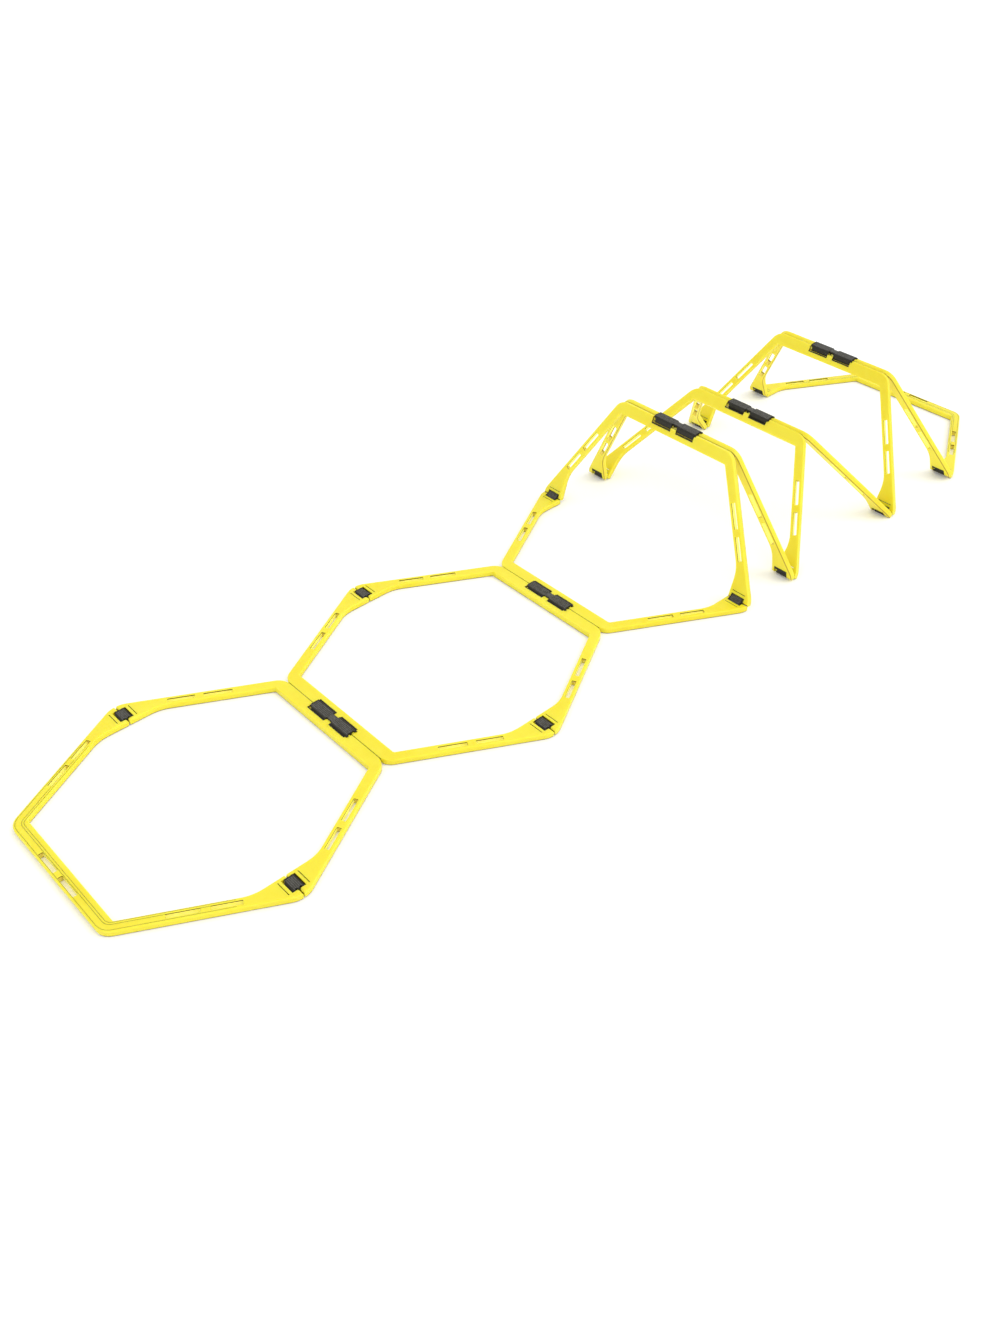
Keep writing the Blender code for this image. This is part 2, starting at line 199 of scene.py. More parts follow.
# Light that the surfaces give off: painted light from the slots' walls, and an even glow from the floor
SLOT_PAINTED_GLOW_STRENGTH = 0.22
FLOOR_GLOW_STRENGTH = 0.12


# Mesh helpers


def arc(centre, radius, start, end, steps):
    """Points of an arc between two angles, in radians."""
    angles = np.linspace(start, end, steps + 1)
    return [(centre[0] + radius * math.cos(a), centre[1] + radius * math.sin(a)) for a in angles]


def bezier(first, control, last, steps):
    """Points of a curve from first to last, drawn towards control."""
    points = []
    for s in np.linspace(0.0, 1.0, steps + 1):
        p = [(1 - s) ** 2 * a + 2 * s * (1 - s) * b + s * s * c for a, b, c in zip(first, control, last)]
        points.append(tuple(p))
    return points


def inward_normals(outline):
    """Mitred inward direction at each point of a closed outline."""
    points = np.array(outline)
    following = np.roll(points, -1, axis=0)
    area = (points[:, 0] * following[:, 1] - following[:, 0] * points[:, 1]).sum()
    side = 1.0 if area > 0 else -1.0
    normals = []
    for i, point in enumerate(points):
        before = point - points[i - 1]
        after = following[i] - point
        n1 = side * np.array([-before[1], before[0]]) / np.linalg.norm(before)
        n2 = side * np.array([-after[1], after[0]]) / np.linalg.norm(after)
        mitre = n1 + n2
        normals.append(mitre * 2 / max(mitre.dot(mitre), 1.0))
    return normals


def loft(outline, levels, axes=(0, 1, 2)):
    """A solid whose rings are the outline, drawn in by draw at each (height, draw) of levels."""
    normals = inward_normals(outline)
    mesh = bmesh.new()
    rings = []
    for height, draw in levels:
        ring = []
        for (a, b), normal in zip(outline, normals):
            values = (a + normal[0] * draw, b + normal[1] * draw, height)
            co = [0.0, 0.0, 0.0]
            for axis, value in zip(axes, values):
                co[axis] = value
            ring.append(mesh.verts.new(co))
        rings.append(ring)
    count = len(outline)
    for low, high in zip(rings, rings[1:]):
        for i in range(count):
            j = (i + 1) % count
            mesh.faces.new((low[i], low[j], high[j], high[i]))
    mesh.faces.new(rings[0])
    mesh.faces.new(rings[-1])
    bmesh.ops.recalc_face_normals(mesh, faces=mesh.faces)
    if mesh.calc_volume(signed=True) < 0:
        bmesh.ops.reverse_faces(mesh, faces=mesh.faces)
    return mesh


def round_levels(low, high, radius, steps):
    """Levels of a loft from low to high whose two ends are rounded by radius."""
    quarter = [radius * (1 - math.cos(a)) for a in np.linspace(0, math.pi / 2, steps + 1)]
    sides = [radius * (1 - math.sin(a)) for a in np.linspace(0, math.pi / 2, steps + 1)]
    start = [(low + z, draw) for z, draw in zip(quarter, sides)]
    end = [(high - z, draw) for z, draw in reversed(list(zip(quarter, sides)))]
    return start + end


def rounded_rectangle(low, high, corner, steps=3):
    """The outline of a rectangle between two corner points, its corners rounded by corner."""
    (x1, y1), (x2, y2) = low, high
    points = []
    corners = ((x2, y2, 0.0), (x1, y2, 0.5), (x1, y1, 1.0), (x2, y1, 1.5))
    for x, y, turn in corners:
        centre = (x - corner if x == x2 else x + corner, y - corner if y == y2 else y + corner)
        points += arc(centre, corner, turn * math.pi, (turn + 0.5) * math.pi, steps)
    return points


def slot_cutter(low, high, corner, matrix=None, undercut=0.0):
    """What cuts a slot through the panel, with eased rims and walls set back below the top skin."""
    top = THICKNESS
    levels = [(-MARGIN, -RIM - MARGIN - undercut), (RIM, -undercut)]
    if undercut:
        levels += [(top - SKIN - undercut / 2, -undercut), (top - SKIN, 0.0)]
    levels += [(top - RIM, 0.0), (top + MARGIN, -RIM - MARGIN)]
    mesh = loft(rounded_rectangle(low, high, corner), levels)
    if matrix is not None:
        bmesh.ops.transform(mesh, matrix=matrix, verts=mesh.verts)
    return mesh


def box_mesh(low, high):
    mesh = bmesh.new()
    centre = (Vector(low) + Vector(high)) / 2
    size = Vector(high) - Vector(low)
    place = Matrix.Translation(centre) @ Matrix.Diagonal((*size, 1.0))
    bmesh.ops.create_cube(mesh, size=1.0, matrix=place)
    return mesh


def rod_mesh(radius, u, z, low_v, high_v):
    """A round rod along v, centred on u and z."""
    mesh = bmesh.new()
    place = Matrix.Translation((u, (low_v + high_v) / 2, z)) @ Matrix.Rotation(math.pi / 2, 4, "X")
    bmesh.ops.create_cone(
        mesh, cap_ends=True, segments=PIN_SIDES, radius1=radius, radius2=radius,
        depth=high_v - low_v, matrix=place,
    )
    return mesh


def temporary_object(mesh, name):
    data = bpy.data.meshes.new(name)
    mesh.to_mesh(data)
    mesh.free()
    obj = bpy.data.objects.new(name, data)
    bpy.context.scene.collection.objects.link(obj)
    return obj


def combined(base, others, operation):
    """Changes the mesh of base by an exact Boolean with each of the other meshes."""
    tools = [temporary_object(other, "tool") for other in others]
    for tool in tools:
        modifier = base.modifiers.new(operation, "BOOLEAN")
        modifier.operation = operation
        modifier.solver = "EXACT"
        modifier.object = tool
    graph = bpy.context.evaluated_depsgraph_get()
    data = bpy.data.meshes.new_from_object(base.evaluated_get(graph))
    base.modifiers.clear()
    base.data = data
    for tool in tools:
        bpy.data.objects.remove(tool, do_unlink=True)


def finished(obj, name):
    """The mesh data of a built object, cleaned, with smooth rounds and crisp corners."""
    mesh = bmesh.new()
    mesh.from_mesh(obj.data)
    bmesh.ops.remove_doubles(mesh, verts=mesh.verts, dist=SAME_POINT)
    bmesh.ops.dissolve_degenerate(mesh, edges=mesh.edges, dist=SAME_POINT)
    for face in mesh.faces:
        face.smooth = True
    for edge in mesh.edges:
        edge.smooth = len(edge.link_faces) == 2 and edge.calc_face_angle(0.0) < CRISP_ANGLE
    data = bpy.data.meshes.new(name)
    mesh.to_mesh(data)
    mesh.free()
    bpy.data.objects.remove(obj, do_unlink=True)
    return data


# Panels


def half_outline():
    """The +v half of the panel's outline, from the top bar's outer edge round to its inner edge."""
    half_top = TOP_LENGTH / 2
    turn = math.pi / 2 - LEG_ANGLE
    setback = TOP_CORNER_RADIUS * math.tan(turn / 2)
    centre = (TOP_CORNER_RADIUS, half_top - setback)
    outline = arc(centre, TOP_CORNER_RADIUS, math.pi, math.pi / 2 + LEG_ANGLE, TOP_CORNER_STEPS)
    tip_v = FOOT_SPAN / 2 - FOOT_TIP_RADIUS * (1 / math.cos(LEG_ANGLE) - 1)
    centre = (HEIGHT, tip_v - FOOT_TIP_RADIUS)
    outline += arc(centre, FOOT_TIP_RADIUS, math.pi / 2 + LEG_ANGLE, math.pi / 2, FOOT_TIP_STEPS)[:-1]
    outline += [(HEIGHT - FOOT_CORNER, tip_v), (HEIGHT, tip_v - FOOT_CORNER)]
    inner_end = FOOT_INNER_V
    outline += [(HEIGHT, inner_end + FOOT_CORNER), (HEIGHT - FOOT_CORNER, inner_end)]
    inner_line = half_top - LEG_WIDTH / math.cos(LEG_ANGLE)
    flare_u = HEIGHT - FLARE_LENGTH
    flare_v = inner_line + flare_u * LEG_SLOPE
    control = (flare_u + (inner_end - flare_v) / LEG_SLOPE, inner_end)
    start = (HEIGHT - FLARE_STRAIGHT, inner_end)
    outline += bezier(start, control, (flare_u, flare_v), FLARE_STEPS)
    setback = INNER_CORNER_RADIUS * math.tan(turn / 2)
    corner_v = inner_line + BAR_WIDTH * LEG_SLOPE - setback
    centre = (BAR_WIDTH + INNER_CORNER_RADIUS, corner_v)
    outline += arc(centre, INNER_CORNER_RADIUS, math.pi / 2 + LEG_ANGLE, math.pi, INNER_CORNER_STEPS)
    return outline


def nose_cut(pin_u, outward, upward, span=(-FOOT_SPAN / 2 - MARGIN, FOOT_SPAN / 2 + MARGIN)):
    """What is cut from a hinged edge to round it about its pin, above or below the pin."""
    corner = HALF + MARGIN
    section = [(0.0, HALF), (0.0, corner), (corner, corner), (corner, 0.0)]
    for i in range(NOSE_STEPS):
        a = i * math.pi / 2 / NOSE_STEPS
        section.append((HALF * math.cos(a), HALF * math.sin(a)))
    placed = [(pin_u + outward * u, HALF + upward * z) for u, z in section]
    return loft(placed, [(span[0], 0.0), (span[1], 0.0)], axes=(0, 2, 1))


def leg_slots():
    """The cutters of the two slots in each leg, turned to lie along it."""
    middle = LEG_WIDTH / 2 / math.cos(LEG_ANGLE)
    shapes = []
    for side in (1, -1):
        for first, last in LEG_SLOTS:
            u = (first + last) / 2 * HEIGHT
            v = side * (TOP_LENGTH / 2 + u * LEG_SLOPE - middle)
            half = (last - first) / 2 * HEIGHT / math.cos(LEG_ANGLE)
            turn = Matrix.Translation((u, v, 0.0)) @ Matrix.Rotation(side * LEG_ANGLE, 4, "Z")
            wide = LEG_SLOT_WIDTH / 2
            shapes.append(slot_cutter((-half, -wide), (half, wide), SLOT_CORNER, turn, UNDERCUT))
    return shapes


def both_sides(u1, v1, u2, v2, corner, undercut=0.0):
    """The cutters of a slot at v1 to v2, and of its mirror image on the other side."""
    ends = ((v1, v2), (-v2, -v1))
    return [slot_cutter((u1, low), (u2, high), corner, None, undercut) for low, high in ends]


def foot_cuts():
    """The pocket of each foot link, and the narrow slot behind it."""
    inner = FOOT_LINK_CENTRE - FOOT_LINK_HALF
    outer = FOOT_LINK_CENTRE + FOOT_LINK_HALF
    gap = POCKET_SIDE_GAP
    far = HEIGHT + MARGIN * 2
    shapes = both_sides(HEIGHT - POCKET_DEPTH, inner - gap, far, outer + gap, POCKET_CORNER)
    slot = HEIGHT - CLIP_SLOT_SETBACK
    shapes += both_sides(slot - CLIP_SLOT_WIDTH, inner, slot, outer, CLIP_SLOT_WIDTH * 0.4)
    for v1, v2 in ((inner, outer), (-outer, -inner)):
        near = HEIGHT - POCKET_DEPTH + MARGIN
        shapes.append(box_mesh((slot, v1, -MARGIN), (near, v2, STRAP_DEPTH)))
    return shapes


def bar_pockets(nub_side):
    """The v ranges of a bar's two pockets. A nub fills the end of the one on the nub's side."""
    end = TOP_LINK_HALF + POCKET_SIDE_GAP
    high = (BRIDGE_HALF, end - (NUB_LENGTH if nub_side > 0 else 0.0))
    low = (-end + (NUB_LENGTH if nub_side < 0 else 0.0), -BRIDGE_HALF)
    return high, low


def bar_cuts(nub_side):
    """One pocket for each pad of the top link, and the bridge between them set back for its neck."""
    far = -MARGIN * 2
    pockets = bar_pockets(nub_side)
    shapes = [slot_cutter((far, v1), (POCKET_DEPTH, v2), POCKET_CORNER) for v1, v2 in pockets]
    end = TOP_LINK_HALF + POCKET_SIDE_GAP
    nub = (end - NUB_LENGTH - MARGIN, end) if nub_side > 0 else (-end, -end + NUB_LENGTH + MARGIN)
    shapes.append(nose_cut(HALF, -1, 1, nub))
    wide = BRIDGE_HALF + EDGE_ROUND
    top = THICKNESS + MARGIN
    shapes.append(box_mesh((-MARGIN, -wide, -MARGIN), (BRIDGE_SETBACK, wide, top)))
    for v1, v2 in pockets:
        low = (POCKET_DEPTH - MARGIN, v1, THICKNESS - STRAP_DEPTH)
        shapes.append(box_mesh(low, (BAR_STRAP_END, v2, top)))
    return shapes


def strap(u1, v1, u2, v2, z1, z2):
    """One flat end of a rubber link, let into the panel's face."""
    gap = STRAP_GAP
    outline = rounded_rectangle((u1 + gap, v1 + gap), (u2 - gap, v2 - gap), STRAP_CORNER)
    return loft(outline, round_levels(z1 + gap, z2, STRAP_EDGE, 2))


def straps_mesh(name, hinged_bar, nub_side=0):
    """The ends of the rubber links that stay on a panel: by its bar above, by its feet below."""
    inner = FOOT_LINK_CENTRE - FOOT_LINK_HALF
    outer = FOOT_LINK_CENTRE + FOOT_LINK_HALF
    slot = HEIGHT - CLIP_SLOT_SETBACK
    near = HEIGHT - POCKET_DEPTH
    sides = ((inner, outer), (-outer, -inner))
    pieces = [strap(slot, v1, near, v2, 0.0, STRAP_DEPTH) for v1, v2 in sides]
    if hinged_bar:
        low = THICKNESS - STRAP_DEPTH
        for v1, v2 in bar_pockets(nub_side):
            pieces.append(strap(POCKET_DEPTH, v1, BAR_STRAP_END, v2, low, THICKNESS))
    base = temporary_object(pieces[0], name)
    combined(base, pieces[1:], "UNION")
    return finished(base, name)


def bead_lines():
    """Fine grooves along the end panel's free bar. They turn with its corners and run on down the legs."""
    corner = half_outline()[:TOP_CORNER_STEPS + 1]
    half = corner + [(BEAD_END, TOP_LENGTH / 2 + BEAD_END * LEG_SLOPE)]
    run = [(u, -v) for u, v in reversed(half)] + half
    points = np.array(run)
    along = np.gradient(points, axis=0)
    inward = np.stack([along[:, 1], -along[:, 0]], axis=1) / np.linalg.norm(along, axis=1)[:, None]
    shapes = []
    for setback in BEAD_LINES:
        first = points + inward * setback
        second = points + inward * (setback + BEAD_WIDTH)
        outline = [tuple(p) for p in first] + [tuple(p) for p in second[::-1]]
        levels = [(THICKNESS - BEAD_DEPTH, BEAD_WIDTH * 0.3), (THICKNESS + MARGIN, 0.0)]
        shapes.append(loft(outline, levels))
    return shapes


def foot_pins():
    """The pin across each foot's pocket."""
    reach = FOOT_LINK_HALF + POCKET_SIDE_GAP + PIN_ANCHOR
    shapes = []
    for v in (FOOT_LINK_CENTRE, -FOOT_LINK_CENTRE):
        shapes.append(rod_mesh(PIN_RADIUS, HEIGHT - HALF, HALF, v - reach, v + reach))
    return shapes


def bar_pins():
    """The pins across the bar's two pockets."""
    end = TOP_LINK_HALF + POCKET_SIDE_GAP + PIN_ANCHOR
    start = BRIDGE_HALF - PIN_ANCHOR / 4
    return [rod_mesh(PIN_RADIUS, HALF, HALF, *ends) for ends in ((start, end), (-end, -start))]


def panel_mesh(name, hinged_bar, nub_side=0):
    """A whole panel, its bar either hinged or free. nub_side is the side of v on which the nub is."""
    half = half_outline()
    outline = half + [(u, -v) for u, v in reversed(half)]
    levels = round_levels(0.0, THICKNESS, EDGE_ROUND, EDGE_STEPS)
    parting = [(-1.0, 0.0), (-0.4, PARTING_DEPTH), (0.4, PARTING_DEPTH), (1.0, 0.0)]
    groove = [(HALF + z * PARTING_HALF, draw) for z, draw in parting]
    middle = len(levels) // 2
    levels = levels[:middle] + groove + levels[middle:]
    blank = temporary_object(loft(outline, levels), name)
    cuts = leg_slots() + foot_cuts()
    pins = foot_pins()
    if hinged_bar:
        cuts += bar_cuts(nub_side)
        pins += bar_pins()
    else:
        (u1, u2), (v1, v2) = FREE_SLOT_U, FREE_SLOT_V
        cuts += both_sides(u1, v1, u2, v2, SLOT_CORNER, UNDERCUT) + bead_lines()
    cuts += [nose_cut(HEIGHT - HALF, 1, 1), nose_cut(HEIGHT - HALF, 1, -1), nose_cut(HALF, -1, -1)]
    combined(blank, cuts, "DIFFERENCE")
    combined(blank, pins, "UNION")
    return finished(blank, name)


# Links


def knuckles(pitch):
    """The lower part of a link's cross-section: round both pins, with their bores open to below."""
    bore = PIN_RADIUS + PIN_CLEARANCE
    mouth = MOUTH_WIDTH / 2
    inner = math.asin(mouth / bore)
    outer = math.asin(mouth / HALF)
    left, right = -pitch / 2, pitch / 2
    down = 1.5 * math.pi
    points = arc((left, 0.0), HALF, math.pi, down - outer, KNUCKLE_STEPS)
    points += arc((left, 0.0), bore, down - inner, down + inner - 2 * math.pi, BORE_STEPS)
    points += [(left + mouth, -HALF), (right - mouth, -HALF)]
    points += arc((right, 0.0), bore, down - inner, down + inner - 2 * math.pi, BORE_STEPS)
    points += arc((right, 0.0), HALF, down + outer, 2 * math.pi, KNUCKLE_STEPS)
    return points


def grooved(top, span, count):
    """A flat top from +span to -span with grooves along it."""
    points = []
    wide = GROOVE_WIDTH / 2
    for i in range(count):
        x = span * (1 - 2 * i / (count - 1))
        points += [(x + wide, top), (x + wide * GROOVE_FLOOR, top - GROOVE_DEPTH)]
        points += [(x - wide * GROOVE_FLOOR, top - GROOVE_DEPTH), (x - wide, top)]
    return points


def crowned_section(pitch):
    """A top link's cross-section: a raised, grooved plateau with sloped sides over its knuckles."""
    reach = pitch / 2 + HALF
    top = HALF + CROWN_HEIGHT
    crown = reach - CROWN_SLOPE
    shoulder = [(reach, HALF - 0.0006), (reach - 0.0002, HALF)]
    rim = [(crown + 0.0004, top - 0.0005), (crown + 0.0001, top - 0.0001), (crown - 0.0004, top)]
    side = shoulder + rim
    mirrored = [(-x, z) for x, z in reversed(side)]
    return knuckles(pitch) + side + grooved(top, crown - CROWN_TO_GROOVE, GROOVES) + mirrored


def rounded_section(pitch):
    """A foot link's cross-section: flat and grooved above, fully rounded at both ends."""
    right = arc((pitch / 2, 0.0), HALF, 0.0, math.pi / 2, KNUCKLE_STEPS)[1:]
    left = [(-x, z) for x, z in reversed(right)]
    top = grooved(HALF, pitch / 2 - FOOT_GROOVE_INSET, FOOT_GROOVES)
    return knuckles(pitch) + right + top + left


def upright_cut(outline, top):
    """What cuts an outline in x and y through a link, from below its knuckles to above its top."""
    return loft(outline, [(-HALF - MARGIN, 0.0), (top + MARGIN, 0.0)])


def corner_cut(half_length, reach, top):
    """The corner that is cut off at one end of every link."""
    wide, long = CUT_CORNER
    far = half_length + MARGIN
    slope = MARGIN * wide / long
    start = half_length - long - MARGIN * long / wide
    corner = [(-reach - MARGIN, start), (-reach + wide + slope, far), (-reach - MARGIN, far)]
    return upright_cut(corner, top)


def notches(half_length, top):
    """A foot link's other end is notched on both sides of the seam."""
    notch = [(NOTCH_FROM, 0.0), (0.0026, -NOTCH_DEPTH), (0.0046, -NOTCH_DEPTH * 0.85), (NOTCH_TO, 0.0)]
    far = -half_length - MARGIN
    shapes = []
    for side in (1, -1):
        outline = [(side * x, -(half_length + y)) for x, y in notch]
        outline += [(side * NOTCH_TO, far), (side * NOTCH_FROM, far)]
        shapes.append(upright_cut(outline, top))
    return shapes


def room_for_nubs(half_length, reach, top):
    """A top link's other end leaves room for the two panels' nubs, between two lobes of its plateau."""
    far = -half_length - MARGIN
    near = -half_length + NUB_LENGTH
    wide = NUB_HALF_WIDTH
    below = box_mesh((-reach - MARGIN, far, -HALF - MARGIN), (reach + MARGIN, near, HALF + 0.0001))
    between = [(-wide, far), (wide, far), (wide - NUB_SLANT, near), (-wide + NUB_SLANT, near)]
    return [below, upright_cut(between, top)]


def top_link_mesh(pitch):
    """Two pads joined by a neck, which lies between the panels' bridges and a little below the pads."""
    inner = BRIDGE_HALF + POCKET_SIDE_GAP
    section = crowned_section(pitch)
    top = HALF + CROWN_HEIGHT
    levels = round_levels(inner, TOP_LINK_HALF, LINK_EDGE, 3)
    link = temporary_object(loft(section, levels, axes=(0, 2, 1)), "top_link")
    other = loft(section, [(-v, draw) for v, draw in levels], axes=(0, 2, 1))
    reach = inner + 2 * PIN_ANCHOR
    level = top - NECK_DROP
    plate = box_mesh((-NECK_HALF_WIDTH, -reach, NECK_PLATE_Z), (NECK_HALF_WIDTH, reach, level - 0.0001))
    rib = box_mesh((-NECK_RIB_HALF_WIDTH, -reach, NECK_RIB_Z), (NECK_RIB_HALF_WIDTH, reach, HALF))
    wide = NECK_CROWN_HALF_WIDTH
    low = HALF + 0.0002
    crown = [(-wide, low), (wide, low), (wide - NECK_CROWN_SLOPE, level)]
    crown += grooved(level, wide - CROWN_TO_GROOVE, NECK_GROOVES) + [(-wide + NECK_CROWN_SLOPE, level)]
    neck = loft(crown, [(-reach, 0.0), (reach, 0.0)], axes=(0, 2, 1))
    combined(link, [other, plate, rib, neck], "UNION")
    reach = pitch / 2 + HALF
    cuts = room_for_nubs(TOP_LINK_HALF, reach, top) + [corner_cut(TOP_LINK_HALF, reach, top)]
    combined(link, cuts, "DIFFERENCE")
    return finished(link, "top_link")


def foot_link_mesh(pitch):
    """One block, grooved above, with a cut corner at one end and two notches at the other."""
    levels = round_levels(-FOOT_LINK_HALF, FOOT_LINK_HALF, LINK_EDGE, 3)
    link = temporary_object(loft(rounded_section(pitch), levels, axes=(0, 2, 1)), "foot_link")
    cuts = notches(FOOT_LINK_HALF, HALF) + [corner_cut(FOOT_LINK_HALF, pitch / 2 + HALF, HALF)]
    combined(link, cuts, "DIFFERENCE")
    return finished(link, "foot_link")


# Places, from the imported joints


def pins_by_fold():
    """For each fold, its two pins (x, z) in order along the chain."""
    found = {}
    for joint in frame["joints"]:
        first = int(joint["name"].split("_")[1])
        found.setdefault(first, set()).add((joint["pos_m"][0], joint["pos_m"][2]))
    return {k: sorted(pins) for k, pins in found.items()}


FOLDS = pins_by_fold()
PITCH = math.dist(*FOLDS[1])


def panel_matrix(number):
    """World matrix of a panel: its two pins are those of the folds before and after it."""
    start = FOLDS[number - 1][1] if number > 1 else None
    end = FOLDS[number][0] if number < PANELS else None
    start = start or (end[0] - PIN_SPAN, end[1])
    end = end or (start[0] + PIN_SPAN, start[1])
    rise = math.atan2(end[1] - start[1], end[0] - start[0])
    turn = Matrix.Rotation(-rise, 4, "Y")
    if number % 2:
        local = Matrix.Translation((-HALF, 0.0, -HALF))
    else:
        local = Matrix.Rotation(math.pi, 4, "Z") @ Matrix.Translation((-(HEIGHT - HALF), 0.0, -HALF))
    return Matrix.Translation((start[0], 0.0, start[1])) @ turn @ local


def link_matrix(fold, v):
    """World matrix of a link at v: midway between its two pins, and tilted with them."""
    (x1, z1), (x2, z2) = FOLDS[fold]
    tilt = math.atan2(z2 - z1, x2 - x1)
    return Matrix.Translation(((x1 + x2) / 2, v, (z1 + z2) / 2)) @ Matrix.Rotation(-tilt, 4, "Y")


def riding(name, body, data, matrix, material):
    """A visible piece that moves with a body."""
    piece = bpy.data.objects.new(name, data)
    bpy.context.scene.collection.objects.link(piece)
    piece.matrix_world = matrix
    if not data.materials:
        data.materials.append(material)
    smoothing = piece.modifiers.new("weighted", "WEIGHTED_NORMAL")
    smoothing.keep_sharp = True
    smoothing.weight = 80
    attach(piece, body)
    return piece


def stand_in(node, data, matrix, material):
    """A visible piece in the place of one CAD node."""
    piece = riding(node + "_visual", node, data, matrix, material)
    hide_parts(node)
    return piece


# Materials


class Nodes:
    """A short way to write a material's node tree."""

    def __init__(self, name):
        self.material = bpy.data.materials.new(name)
        self.material.use_nodes = True
        self.tree = self.material.node_tree
        self.shader = self.tree.nodes["Principled BSDF"]

    def add(self, kind, inputs=None, **settings):
        node = self.tree.nodes.new("ShaderNode" + kind)
        for key, value in settings.items():
            setattr(node, key, value)
        for key, value in (inputs or {}).items():
            self.put(node, key, value)
        return node

    def put(self, node, key, value):
        socket = node.inputs[key]
        if isinstance(value, bpy.types.NodeSocket):
            self.tree.links.new(value, socket)
        else:
            socket.default_value = value

    def noise(self, vector, scale, detail=4.0, roughness=0.55):
        inputs = {"Vector": vector, "Scale": scale, "Detail": detail, "Roughness": roughness}
        return self.add("TexNoise", inputs).outputs["Fac"]

    def ramp(self, value, low, high, first=0.0, last=1.0):
        inputs = {"Value": value, "From Min": low, "From Max": high, "To Min": first, "To Max": last}
        return self.add("MapRange", inputs).outputs["Result"]

    def math(self, operation, a, b=0.0):
        return self.add("Math", {0: a, 1: b}, operation=operation).outputs[0]

    def times(self, first, *others):
        """The product of values. Of masks, it is where all of them hold."""
        for other in others:
            first = self.math("MULTIPLY", first, other)
        return first

    def parts(self, vector):
        """The x, y and z of a vector."""
        return self.add("SeparateXYZ", {"Vector": vector}).outputs

    def stretched(self, vector, scale):
        return self.add("Mapping", {"Vector": vector, "Scale": scale}).outputs[0]

    def mix(self, factor, a, b):
        node = self.add("Mix", data_type="RGBA")
        self.put(node, "Factor", factor)
        self.put(node, 6, a)
        self.put(node, 7, b)
        return node.outputs[2]

    def bump(self, height, distance, strength, normal=None):
        inputs = {"Height": height, "Distance": distance, "Strength": strength}
        if normal is not None:
            inputs["Normal"] = normal
        return self.add("Bump", inputs).outputs["Normal"]

    def set(self, **values):
        for key, value in values.items():
            self.put(self.shader, key.replace("_", " "), value)


def edge_mask(n, coordinates):
    """Near 1 where the surface turns between the flat faces and the side walls."""
    up = n.parts(coordinates.outputs["Normal"])["Z"]
    squared = n.times(up, up)
    return n.times(squared, n.math("SUBTRACT", 1.0, squared), 4.0)


def painted_shade_in_crevices(n, distance, low, high):
    """Near 1 in seams and narrow gaps, where shade falls. It masks painted shade there.

    It is 1 where less than low of the sky within distance is open, and 0 where more than high is.
    """
    open_sky = n.add("AmbientOcclusion", {"Distance": distance}, samples=6).outputs["AO"]
    return n.ramp(open_sky, low, high, 1.0, 0.0)


def own_place(n, coordinates):
    """The piece's own coordinates, shifted so that no two pieces look the same.

    The shift comes from Object Info's Random, which follows from the object's name, so it is the same
    each run.
    """
    longest_step = 3.0
    step = n.times(n.add("ObjectInfo").outputs["Random"], longest_step)
    shifted = n.add("VectorMath", {0: coordinates.outputs["Object"], 1: step}, operation="ADD")
    return shifted.outputs[0]


def slot_walls(n, coordinates):
    """1 on the walls inside the panel's slots, and 1 on those that close a slot's ends.

    The mask is made of position and normal, so it takes in every steep wall near the line of the leg
    slots, and every one in the strip of the bar where the end panels' slots lie. On the hinged bars that
    strip holds no slots but the pockets' walls, the bridge and the nubs, and they are 1 too.
    """
    steep = 0.7
    u, v, _ = n.parts(coordinates.outputs["Object"])
    facing_u, facing_v, up = n.parts(coordinates.outputs["Normal"])
    side = n.math("ABSOLUTE", v)
    middle = TOP_LENGTH / 2 - LEG_WIDTH / 2 / math.cos(LEG_ANGLE)
    line = n.math("ADD", n.times(u, LEG_SLOPE), middle)
    off_line = n.math("ABSOLUTE", n.math("SUBTRACT", side, line))
    # The factors here and for the bar let the mask reach a little past the slots.
    leg_from = LEG_SLOTS[0][0] * HEIGHT * 0.8
    leg_to = LEG_SLOTS[1][1] * HEIGHT * 1.04
    in_leg = n.math("LESS_THAN", off_line, LEG_SLOT_WIDTH * 0.78)
    in_leg = n.times(in_leg, n.math("GREATER_THAN", u, leg_from), n.math("LESS_THAN", u, leg_to))
    bar_from = FREE_SLOT_U[0] - UNDERCUT * 1.2
    bar_to = FREE_SLOT_U[1] + UNDERCUT * 1.2
    in_bar = n.math("LESS_THAN", side, FREE_SLOT_V[1] * 1.03)
    in_bar = n.times(in_bar, n.math("GREATER_THAN", u, bar_from), n.math("LESS_THAN", u, bar_to))
    outward = n.times(facing_v, n.math("SIGN", v))
    along_leg = n.math("ADD", n.times(facing_u, math.cos(LEG_ANGLE)), n.times(outward, math.sin(LEG_ANGLE)))
    leg_end = n.times(in_leg, n.math("GREATER_THAN", n.math("ABSOLUTE", along_leg), steep))
    bar_end = n.times(in_bar, n.math("GREATER_THAN", n.math("ABSOLUTE", facing_v), steep))
    upright = n.math("LESS_THAN", n.math("ABSOLUTE", up), steep)
    walls = n.times(upright, n.math("MAXIMUM", in_leg, in_bar))
    return walls, n.times(walls, n.math("MAXIMUM", leg_end, bar_end))


